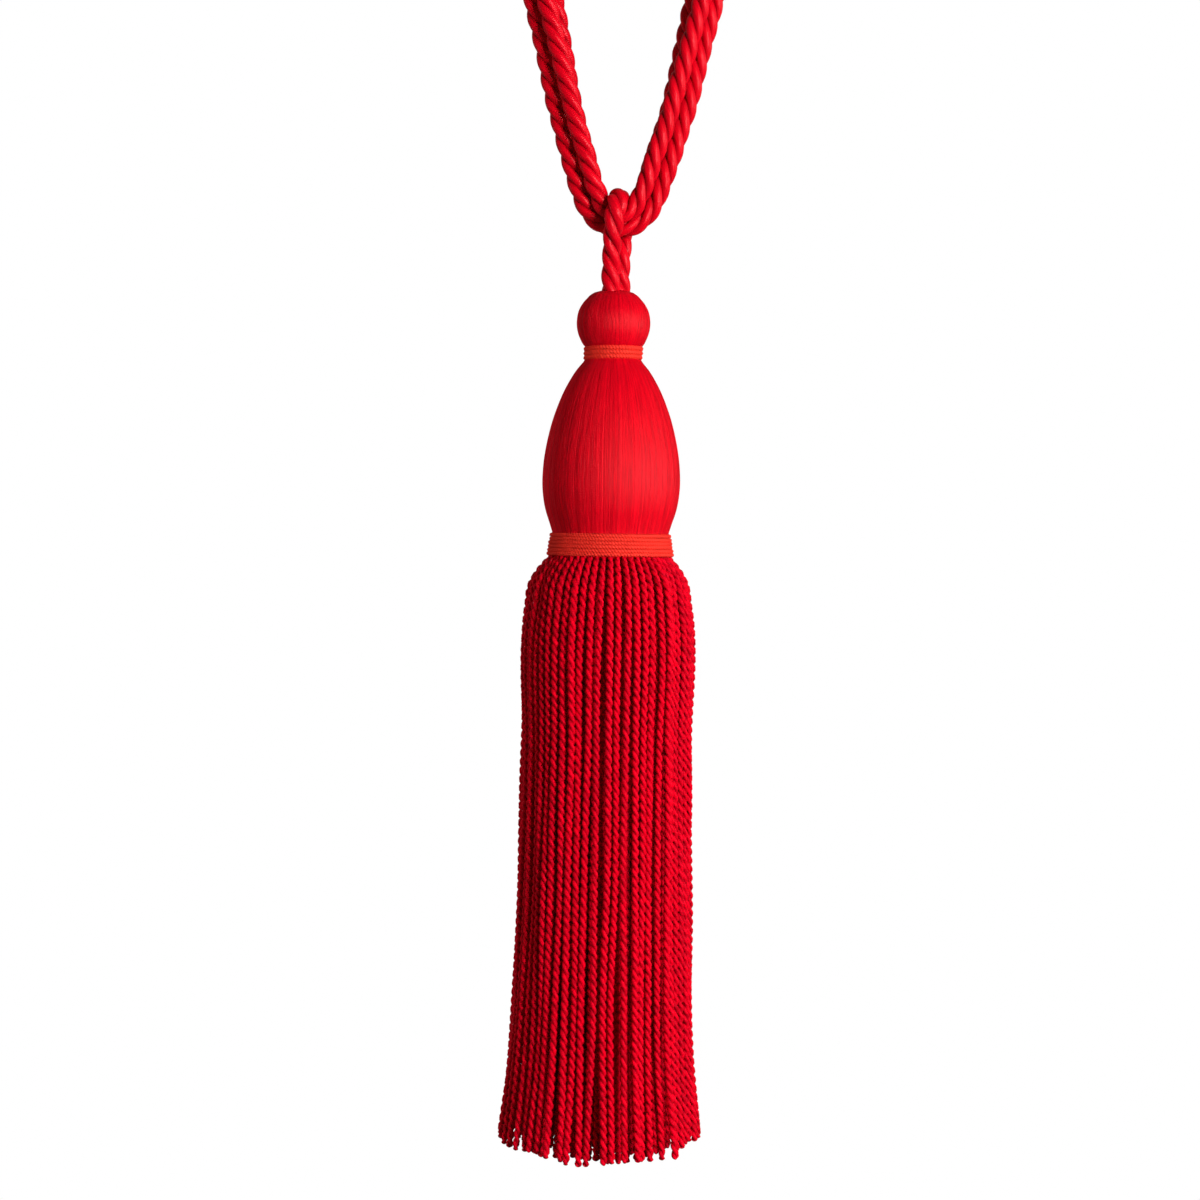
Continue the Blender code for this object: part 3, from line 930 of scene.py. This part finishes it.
def skirt_layer(layer):
    """One layer's strands. Every second layer stands half a strand further round."""
    name, count, pieces, _, _, columns, per_lay, _, girth = LAYERS[layer]
    angles, radius, across = laid(PLIES, CORD_HELIX, CORD_PLY, CORD_LAY, columns)
    steps = int((SKIRT_LENGTH - SKIRT_ROOT) / CORD_LAY * per_lay)
    rounding = TIP_LENGTH * np.sin(np.radians(TIP_ANGLES))
    depths = np.linspace(SKIRT_ROOT, SKIRT_LENGTH - TIP_LENGTH, steps + 1)
    depths = np.concatenate([depths, SKIRT_LENGTH - TIP_LENGTH + rounding])
    to_tip = np.minimum((SKIRT_LENGTH - depths) / TIP_LENGTH, 1)
    tip = np.sqrt(np.clip(1 - (1 - to_tip) ** 2, LEAST_TIP_SHARE, 1))
    full = ROOT_SHARE + (1 - ROOT_SHARE) * np.clip(depths / FULL_THICKNESS_DEPTH, 0, 1)
    tubes, alongs = [], []
    for i in range(count):
        turn = 2 * math.pi * (i + 0.5 * (layer % 2)) / count
        line = strand(turn, layer, depths)
        reference = np.array([math.sin(turn), -math.cos(turn), 0.0])
        lay = CORD_LAY * random.uniform(*CORD_VARIATION)
        distance = walked(line)
        twist = random.uniform(0, 2 * math.pi) + 2 * math.pi * distance / lay
        twist = twist + wander(len(line), *CORD_TWIST_DRIFT)
        radii = radius[None] * (tip * full * girth * random.uniform(*CORD_VARIATION))[:, None]
        tubes.append(sweep(line, reference, angles[None] - twist[:, None], radii))
        alongs.append(distance)
    tubes, alongs = np.stack(tubes), np.stack(alongs)
    across = across[None] + PLIES * np.arange(count)[:, None, None]
    for k in range(pieces):
        part = slice(k * count // pieces, (k + 1) * count // pieces)
        piece = build(f"skirt_{name}_{k + 1}", tubes[part], alongs[part], across[part])
        dress(piece, CORD, "skirt")


# Stage and lights


FLOOR_ROWS = ((0.0, -1.15), (0.8, -1.15), (1.75, -1.15))
SURROUND_ROWS = ((1.75, -1.15), (1.75, 0.6), (1.75, 1.6), (0.0, 1.7))
STAGE_STEPS = 96
STAGE_WELD = 0.0001


def turned_sheet(name, rows, finish):
    """A surface of the stage, turned round the Z axis from (radius, height) rows in metres."""
    mesh = bpy.data.meshes.new(name)
    mesh.from_pydata([(x, 0, z) for x, z in rows], [(i, i + 1) for i in range(len(rows) - 1)], [])
    mesh.materials.append(finish)
    obj = bpy.data.objects.new(name, mesh)
    screw = obj.modifiers.new("turn", "SCREW")
    screw.steps = screw.render_steps = STAGE_STEPS
    screw.use_merge_vertices = True
    screw.merge_threshold = STAGE_WELD
    bpy.context.scene.collection.objects.link(obj)
    return obj


def stage():
    """A pale round floor in a plain white surround, which are seen but don't light the tassel."""
    floor = turned_sheet("floor", FLOOR_ROWS, pale())
    glow = Shader("white surround")
    glow.set(Base_Color=BLACK, Specular_IOR_Level=0, Emission_Color=WHITE, Emission_Strength=1.0)
    surround = turned_sheet("surround", SURROUND_ROWS, glow.material)
    for sheet in (floor, surround):
        sheet.visible_diffuse = False
        sheet.visible_glossy = False
        sheet.visible_transmission = False
        sheet.visible_shadow = False


LIGHTS = (
    # name, place, width, power, seen in highlights
    ("key", (0.63, -0.97, -0.23), 0.4, 21.5, True),
    ("right", (1.1, -0.23, -0.28), 0.5, 5.5, True),
    ("left", (-1.2, 0.2, -0.25), 0.8, 6.5, False),
    ("back", (-0.1, 1.35, -0.2), 0.8, 24.0, False),
)
LIT = Vector((0.0, 0.0, -0.35))
AMBIENT = 0.11


def lights():
    for name, place, width, power, glossy in LIGHTS:
        data = bpy.data.lights.new(name, "AREA")
        data.size = width
        data.energy = power
        obj = bpy.data.objects.new(name, data)
        obj.location = place
        obj.rotation_euler = (LIT - Vector(place)).to_track_quat("-Z", "Y").to_euler()
        obj.visible_glossy = glossy
        obj.visible_camera = False
        bpy.context.scene.collection.objects.link(obj)
    world = bpy.data.worlds.new("studio")
    world.use_nodes = True
    background = world.node_tree.nodes["Background"]
    background.inputs["Color"].default_value = WHITE
    background.inputs["Strength"].default_value = AMBIENT
    bpy.context.scene.world = world
    bpy.context.scene.view_settings.view_transform = "Standard"


camera()
for name, rope in EMBRACE_ROPES.items():
    embrace(name, **rope)
neck_loop()
for node, measures in WOUND.items():
    wound(node, **measures)
for place, measures in BANDS.items():
    wraps(place, **measures)
for number in range(len(LAYERS)):
    skirt_layer(number)
stage()
lights()
